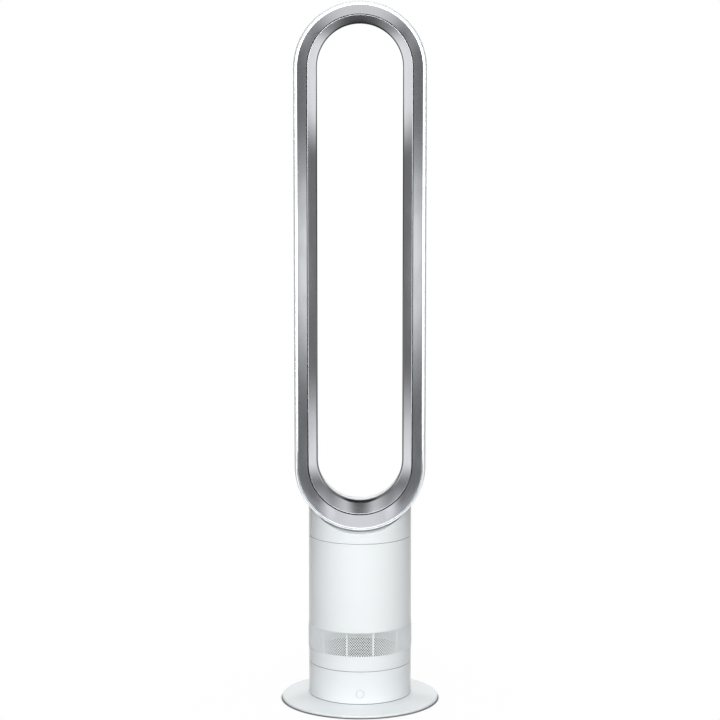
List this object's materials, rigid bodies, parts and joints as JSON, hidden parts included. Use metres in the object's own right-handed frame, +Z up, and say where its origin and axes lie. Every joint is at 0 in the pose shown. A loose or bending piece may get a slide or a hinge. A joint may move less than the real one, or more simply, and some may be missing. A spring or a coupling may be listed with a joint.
{
  "type": "tower fan",
  "caption": "Tall bladeless tower fan: an upright oval air loop on a round body with a perforated inlet band, swinging on a thin round base.",
  "frame": {"origin": "middle of the underside of the base, on the surface the fan stands on", "axes": "+Z up along the swing axis, the air leaves towards -Y, +X to the right seen from the front"},
  "size_m": [0.2266, 0.2266, 1.0069],
  "materials": {
    "white_shell": "white moulded ABS with a satin gloss",
    "white_button": "white moulded ABS, slightly smoother than the casing",
    "silver_ring": "glossy silver metallic paint on moulded plastic",
    "white_band": "white painted perforated sheet",
    "grey_plastic": "dark grey moulded plastic, matt",
    "gear_plastic": "natural acetal",
    "rubber": "black rubber",
    "foam": "open-cell acoustic foam",
    "steel": "zinc-plated or ground steel",
    "motor_iron": "laminated motor iron",
    "board": "green circuit board with its parts"
  },
  "bodies": {
    "base": {"foot_ring": "rubber", "bottom_cover": "grey_plastic", "base_weight": "steel", "base_plate": "white_shell", "base_screws": "steel", "cover_screws": "steel", "lower_casing": "white_shell", "button_switch": "board", "switch_board": "board", "control_board": "board", "cord_gland": "rubber", "bearing_frame": "grey_plastic", "frame_screws": "steel", "glide_ring": "gear_plastic", "swing_motor": "steel", "swing_motor_screws": "steel"},
    "button": {"power_button": "white_button"},
    "pinion": {"pinion": "gear_plastic", "pinion_shaft": "steel"},
    "tower": {"ring_gear": "gear_plastic", "turntable": "grey_plastic", "table_screws": "steel", "keeper_ring": "grey_plastic", "main_casing": "white_shell", "inlet_band": "white_band", "silencer_foam": "foam", "duct_seal": "rubber", "duct": "grey_plastic", "motor_bucket": "grey_plastic", "motor_cap": "grey_plastic", "lower_bearing": "steel", "upper_bearing": "steel", "motor_stator": "motor_iron", "diffuser": "grey_plastic", "nose_cone": "grey_plastic", "neck_gasket": "rubber", "neck_shell": "white_shell", "lock_ring": "grey_plastic", "loop_casing": "white_shell", "loop_guide": "silver_ring", "rim_seal": "rubber", "slot_spacers": "grey_plastic"},
    "impeller": {"impeller": "grey_plastic", "motor_shaft": "steel", "motor_rotor": "motor_iron"}
  },
  "joints": [
    {"name": "oscillation", "type": "hinge", "parent": "base", "child": "tower", "pos_m": [0, 0, 0.0576], "axis": [0, 0, 1], "range_deg": [-35, 35]},
    {"name": "pinion_spin", "type": "hinge", "parent": "base", "child": "pinion", "pos_m": [0.0357, 0, 0.0495], "axis": [0, 0, 1], "range_deg": [-175, 175]},
    {"name": "impeller_spin", "type": "hinge", "parent": "tower", "child": "impeller", "pos_m": [0, 0, 0.14], "axis": [0, 0, 1], "continuous": true},
    {"name": "button_press", "type": "slide", "parent": "base", "child": "button", "axis": [0, 1, 0], "range_m": [0, 0.0012], "stiffness_N_per_m": 900, "springref_m": -0.0006}
  ],
  "couplings": [
    {"joint": "pinion_spin", "follows": "oscillation", "ratio": 5}
  ]
}
